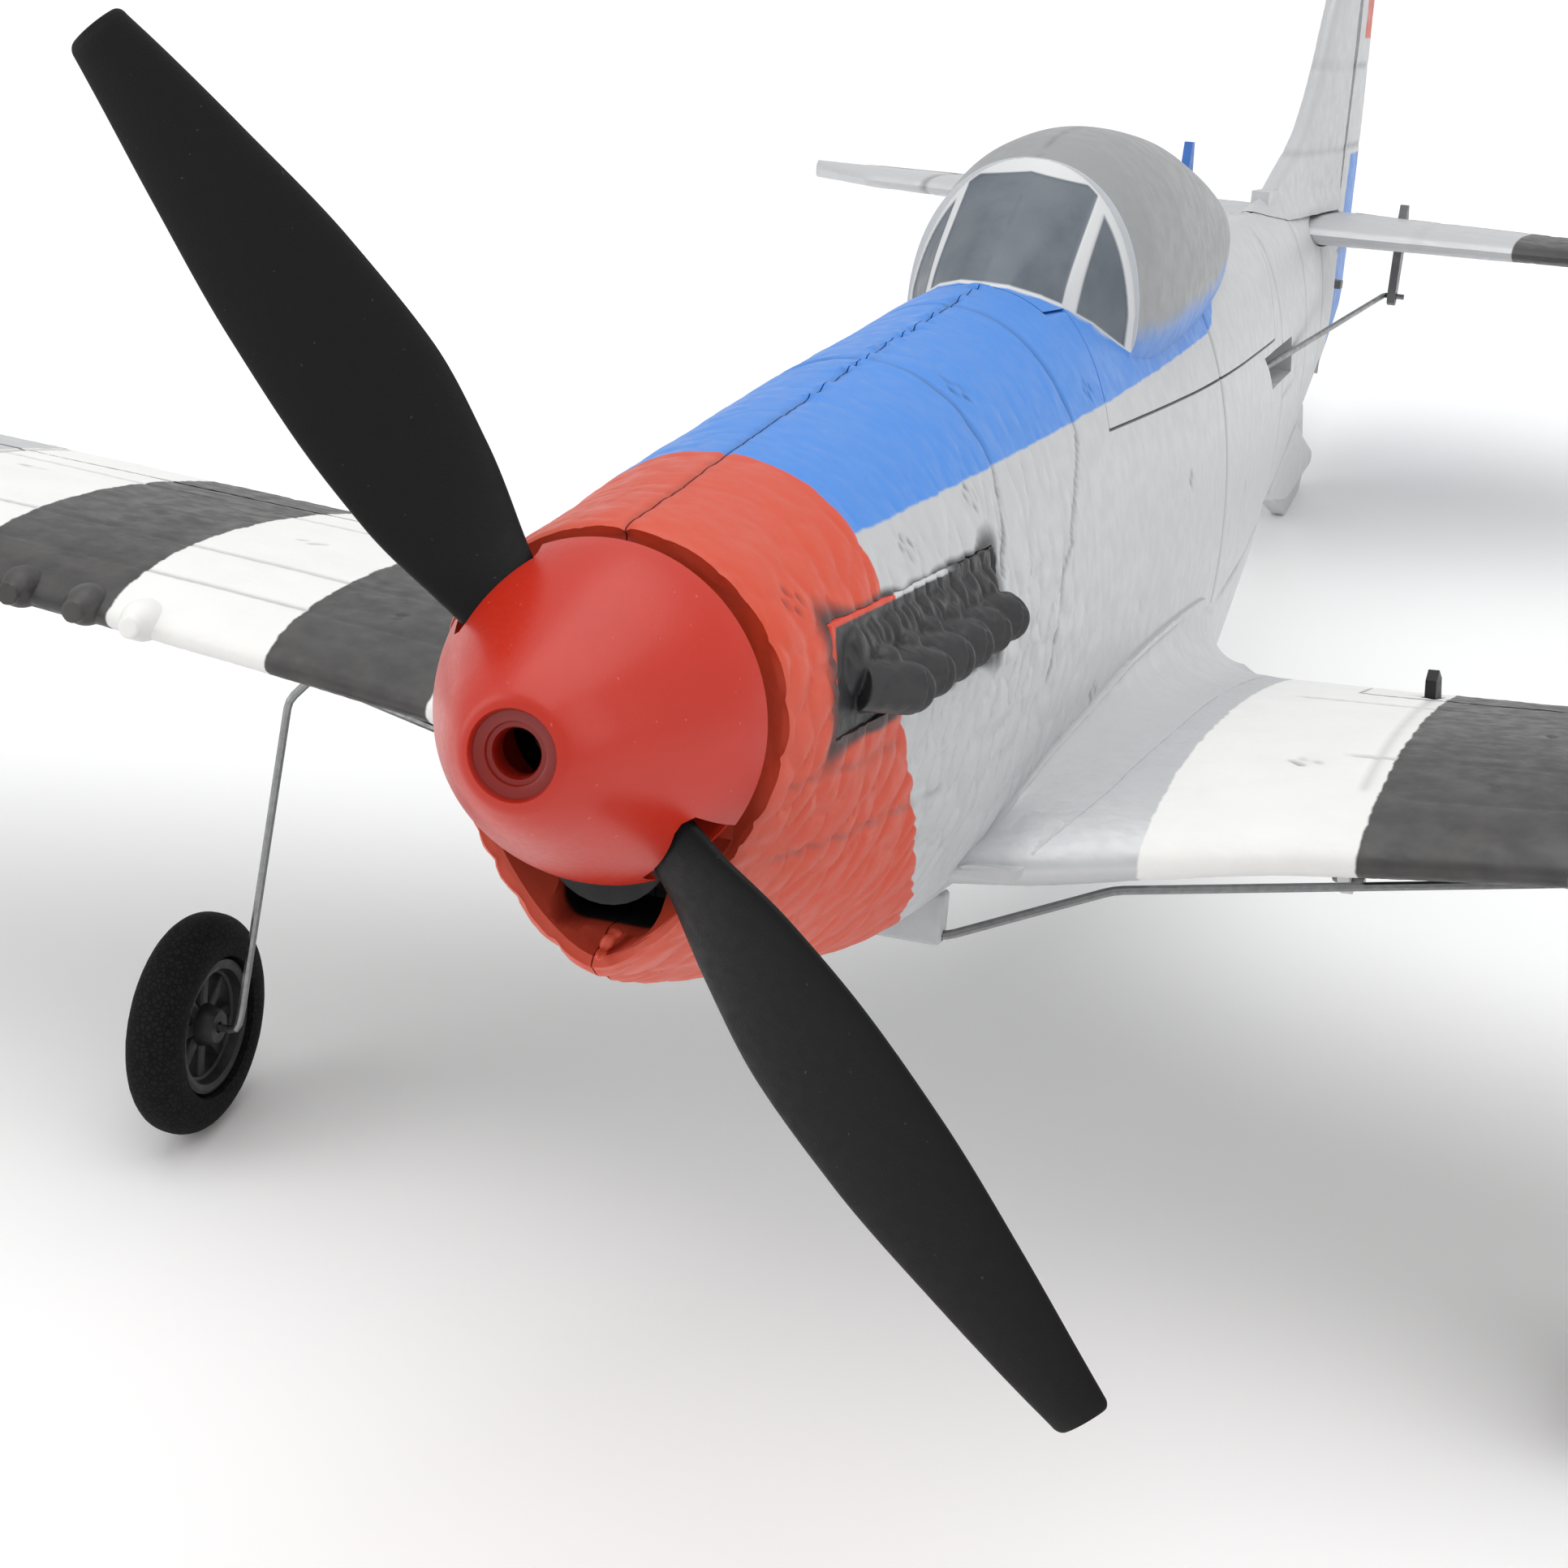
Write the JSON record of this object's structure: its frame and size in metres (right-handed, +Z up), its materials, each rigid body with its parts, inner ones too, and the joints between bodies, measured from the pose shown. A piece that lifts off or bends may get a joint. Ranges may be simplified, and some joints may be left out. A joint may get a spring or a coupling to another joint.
{
  "type": "rc foam airplane",
  "caption": "Small painted-foam radio-controlled low-wing fighter with bubble canopy, geared propeller, wire landing gear and working control surfaces.",
  "frame": {"origin": "on the ground under the centre of the model's bounding box", "axes": "+Z up, nose towards -Y, left wing towards +X; the model stands tail down on its wheels and skid"},
  "size_m": [0.4, 0.335, 0.1386],
  "materials": {
    "foam_silver": "satin",
    "foam_wing": "satin",
    "foam_rudder": "satin",
    "foam_canopy": "satin",
    "spinner_red": "satin",
    "mast_blue": "matte",
    "prop_black": "matte",
    "black_plastic": "satin",
    "grey_plastic": "satin",
    "gear_nylon": "satin",
    "white_plastic": "satin",
    "steel": "satin",
    "brass": "satin",
    "tyre_foam": "matte",
    "cell_foil": "satin",
    "board_green": "satin",
    "plywood": "matte"
  },
  "bodies": {
    "airframe": {"aileron_servo_left": "black_plastic", "aileron_servo_right": "black_plastic", "axle_stop_left": "black_plastic", "axle_stop_right": "black_plastic", "battery": "cell_foil", "battery_tray": "plywood", "belly_clip": "grey_plastic", "elevator_servo": "black_plastic", "exhaust_left": "black_plastic", "exhaust_right": "black_plastic", "fin": "foam_silver", "firewall": "plywood", "front_bushing": "brass", "fuselage_left": "foam_silver", "fuselage_magnet": "steel", "fuselage_right": "foam_silver", "gearbox_housing": "black_plastic", "gearbox_rear_plate": "black_plastic", "landing_gear_wire": "steel", "motor_can": "steel", "rear_bushing": "brass", "receiver_board": "board_green", "rudder_servo": "black_plastic", "stabilizer": "foam_silver", "tail_skid": "grey_plastic", "wing_left": "foam_wing", "wing_right": "foam_wing"},
    "aileron_left": {"aileron_horn_left": "black_plastic", "aileron_left": "foam_wing"},
    "aileron_right": {"aileron_horn_right": "black_plastic", "aileron_right": "foam_wing"},
    "aileron_pushrod_left": {"aileron_pushrod_left": "steel"},
    "aileron_pushrod_right": {"aileron_pushrod_right": "steel"},
    "aileron_servo_arm_left": {"aileron_servo_arm_left": "white_plastic"},
    "aileron_servo_arm_right": {"aileron_servo_arm_right": "white_plastic"},
    "hatch": {"antenna_mast": "mast_blue", "canopy_hatch": "foam_canopy", "hatch_magnet": "steel"},
    "elevator": {"elevator_horn": "black_plastic", "elevator_joiner": "steel", "elevator_left": "foam_silver", "elevator_right": "foam_silver"},
    "elevator_pushrod": {"elevator_pushrod": "steel"},
    "elevator_servo_arm": {"elevator_servo_arm": "white_plastic"},
    "wheel_left": {"hub_left": "black_plastic", "tyre_left": "tyre_foam"},
    "wheel_right": {"hub_right": "black_plastic", "tyre_right": "tyre_foam"},
    "motor_rotor": {"motor_pinion": "brass"},
    "propeller": {"prop_screw": "steel", "prop_shaft": "steel", "propeller": "prop_black", "spinner": "spinner_red", "spinner_backplate": "spinner_red", "spur_gear": "gear_nylon"},
    "rudder": {"rudder": "foam_rudder", "rudder_horn": "black_plastic"},
    "rudder_pushrod": {"rudder_pushrod": "steel"},
    "rudder_servo_arm": {"rudder_servo_arm": "white_plastic"}
  },
  "joints": [
    {"name": "hatch_lift", "type": "slide", "parent": "airframe", "child": "hatch", "axis": [0, 0.6737, 0.739], "range_m": [0, 0.045]},
    {"name": "propeller_spin", "type": "hinge", "parent": "airframe", "child": "propeller", "pos_m": [0, -0.15097, 0.09424], "axis": [0, 0.9665, -0.2568], "continuous": true},
    {"name": "motor_spin", "type": "hinge", "parent": "airframe", "child": "motor_rotor", "pos_m": [0, -0.15354, 0.08458], "axis": [0, 0.9665, -0.2568], "continuous": true},
    {"name": "aileron_left_hinge", "type": "hinge", "parent": "airframe", "child": "aileron_left", "pos_m": [0.101, -0.03642, 0.05292], "axis": [0.9875, -0.1056, 0.117], "range_deg": [-20, 20]},
    {"name": "aileron_right_hinge", "type": "hinge", "parent": "airframe", "child": "aileron_right", "pos_m": [-0.101, -0.03642, 0.05292], "axis": [0.9875, 0.1056, -0.117], "range_deg": [-20, 20]},
    {"name": "elevator_hinge", "type": "hinge", "parent": "airframe", "child": "elevator", "pos_m": [0, 0.13924, 0.04042], "axis": [1, 0, 0], "range_deg": [-20, 20]},
    {"name": "rudder_hinge", "type": "hinge", "parent": "airframe", "child": "rudder", "pos_m": [0, 0.14116, 0.04767], "axis": [0, 0.2568, 0.9665], "range_deg": [-20, 20]},
    {"name": "aileron_servo_arm_left_turn", "type": "hinge", "parent": "airframe", "child": "aileron_servo_arm_left", "pos_m": [0.03949, -0.05788, 0.04997], "axis": [0.9875, -0.1056, 0.117], "range_deg": [-20, 20]},
    {"name": "aileron_pushrod_left_pin", "type": "hinge", "parent": "aileron_servo_arm_left", "child": "aileron_pushrod_left", "pos_m": [0.04077, -0.05829, 0.03877], "axis": [0.9875, -0.1056, 0.117], "range_deg": [-20, 20]},
    {"name": "aileron_servo_arm_right_turn", "type": "hinge", "parent": "airframe", "child": "aileron_servo_arm_right", "pos_m": [-0.03949, -0.05788, 0.04997], "axis": [0.9875, 0.1056, -0.117], "range_deg": [-20, 20]},
    {"name": "aileron_pushrod_right_pin", "type": "hinge", "parent": "aileron_servo_arm_right", "child": "aileron_pushrod_right", "pos_m": [-0.04077, -0.05829, 0.03877], "axis": [0.9875, 0.1056, -0.117], "range_deg": [-20, 20]},
    {"name": "elevator_servo_arm_turn", "type": "hinge", "parent": "airframe", "child": "elevator_servo_arm", "pos_m": [0.0092, -0.00182, 0.07148], "axis": [1, 0, 0], "range_deg": [-20, 20]},
    {"name": "elevator_pushrod_pin", "type": "hinge", "parent": "elevator_servo_arm", "child": "elevator_pushrod", "pos_m": [0.0092, -0.00197, 0.06117], "axis": [1, 0, 0], "range_deg": [-20, 20]},
    {"name": "rudder_servo_arm_turn", "type": "hinge", "parent": "airframe", "child": "rudder_servo_arm", "pos_m": [0, 0.01063, 0.0599], "axis": [0, 0.2568, 0.9665], "range_deg": [-20, 20]},
    {"name": "rudder_pushrod_pin", "type": "hinge", "parent": "rudder_servo_arm", "child": "rudder_pushrod", "pos_m": [-0.0103, 0.01304, 0.05925], "axis": [0, 0.2568, 0.9665], "range_deg": [-20, 20]},
    {"name": "wheel_left_spin", "type": "hinge", "parent": "airframe", "child": "wheel_left", "pos_m": [0.076, -0.08249, 0.012], "axis": [1, 0, 0], "continuous": true},
    {"name": "wheel_right_spin", "type": "hinge", "parent": "airframe", "child": "wheel_right", "pos_m": [-0.076, -0.08249, 0.012], "axis": [1, 0, 0], "continuous": true}
  ],
  "couplings": [
    {"joint": "motor_spin", "follows": "propeller_spin", "ratio": -4},
    {"joint": "aileron_right_hinge", "follows": "aileron_left_hinge", "ratio": -1},
    {"joint": "aileron_servo_arm_left_turn", "follows": "aileron_left_hinge", "ratio": 1},
    {"joint": "aileron_pushrod_left_pin", "follows": "aileron_left_hinge", "ratio": -1},
    {"joint": "aileron_servo_arm_right_turn", "follows": "aileron_left_hinge", "ratio": -1},
    {"joint": "aileron_pushrod_right_pin", "follows": "aileron_left_hinge", "ratio": 1},
    {"joint": "elevator_servo_arm_turn", "follows": "elevator_hinge", "ratio": 1},
    {"joint": "elevator_pushrod_pin", "follows": "elevator_hinge", "ratio": -1},
    {"joint": "rudder_servo_arm_turn", "follows": "rudder_hinge", "ratio": 1},
    {"joint": "rudder_pushrod_pin", "follows": "rudder_hinge", "ratio": -1}
  ]
}
